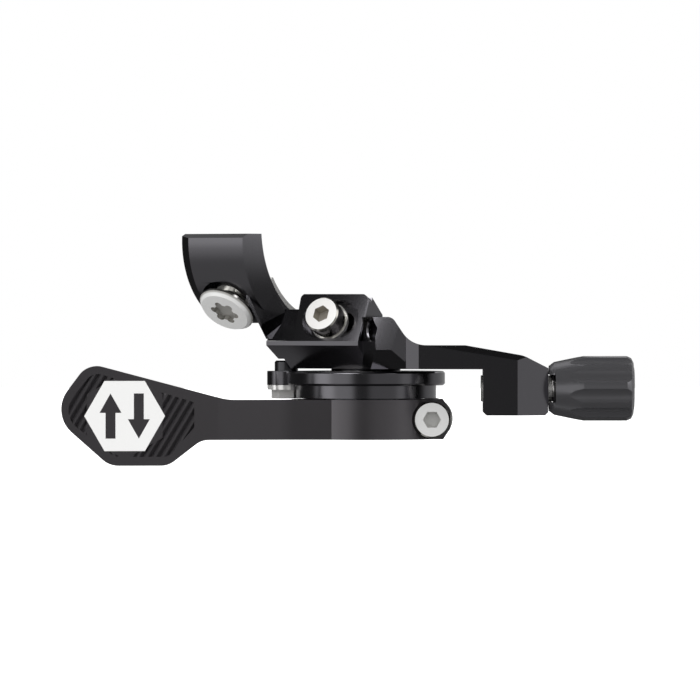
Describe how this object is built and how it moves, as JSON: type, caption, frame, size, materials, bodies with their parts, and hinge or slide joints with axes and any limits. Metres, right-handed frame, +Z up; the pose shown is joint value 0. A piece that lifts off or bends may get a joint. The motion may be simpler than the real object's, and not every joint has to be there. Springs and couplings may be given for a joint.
{
  "type": "dropper post remote lever",
  "caption": "Handlebar thumb remote for a dropper post: saddle bracket, perch with barrel adjuster, ball-bearing cable hub and a clamped lever with a ribbed paddle.",
  "frame": {"origin": "seat of the saddle plate, where the clamp screw's line meets its concave face", "axes": "+Z up as the lever is fitted, +X along the cable housing towards its socket, -Y towards the rider"},
  "size_m": [0.1091, 0.0397, 0.0443],
  "materials": {
    "black_anodised": "satin black anodised, machined and bead blasted",
    "lever_anodised": "satin black anodised lever with a pale printed field",
    "stainless": "turned stainless steel, softly polished",
    "black_steel": "black oxide steel",
    "bearing_steel": "ground bearing steel",
    "seal_rubber": "black nitrile",
    "liner_plastic": "dark nylon",
    "knob_rubber": "matte dark grey moulded knob",
    "spring_steel": "bright spring wire"
  },
  "bodies": {
    "perch": {"mount_bracket": "black_anodised", "clamp_screw": "stainless", "clamp_nut_plate": "stainless", "perch_body": "black_anodised", "stop_set_screw": "black_steel", "bracket_bolt": "stainless", "bracket_bolt_washer": "stainless", "pivot_axle": "black_steel", "bearing_inner_race": "bearing_steel", "adjuster_spring": "spring_steel"},
    "hub": {"cable_hub": "black_anodised", "bearing_outer_race": "bearing_steel", "bearing_balls": "bearing_steel", "bearing_seal_upper": "seal_rubber", "bearing_seal_lower": "seal_rubber", "cable_pinch_bolt": "black_steel", "cable_pinch_washer": "stainless", "cable_pinch_nut": "stainless"},
    "lever_arm": {"lever": "lever_anodised", "lever_pinch_bolt": "stainless", "lever_pinch_nut": "stainless"},
    "adjuster_carriage": {"adjuster_liner": "liner_plastic"},
    "adjuster": {"adjuster_stem": "stainless", "adjuster_knob": "knob_rubber"}
  },
  "joints": [
    {"name": "lever_pivot", "type": "hinge", "parent": "perch", "child": "hub", "pos_m": [0.02413, -0.00812, -0.02192], "axis": [0, 0, -1], "range_deg": [0, 32]},
    {"name": "lever_position", "type": "hinge", "parent": "hub", "child": "lever_arm", "pos_m": [0.02413, -0.00812, -0.02612], "axis": [0, 0, -1], "range_deg": [-10, 10]},
    {"name": "adjuster_travel", "type": "slide", "parent": "perch", "child": "adjuster_carriage", "axis": [1, 0, 0], "range_m": [0, 0.0036], "deforming": ["adjuster_spring"]},
    {"name": "adjuster_turn", "type": "hinge", "parent": "adjuster_carriage", "child": "adjuster", "pos_m": [0.06713, -0.02012, -0.02012], "axis": [1, 0, 0], "range_deg": [0, 1620]}
  ],
  "couplings": [
    {"joint": "adjuster_turn", "follows": "adjuster_travel", "rad_per_m": 7853.9}
  ]
}
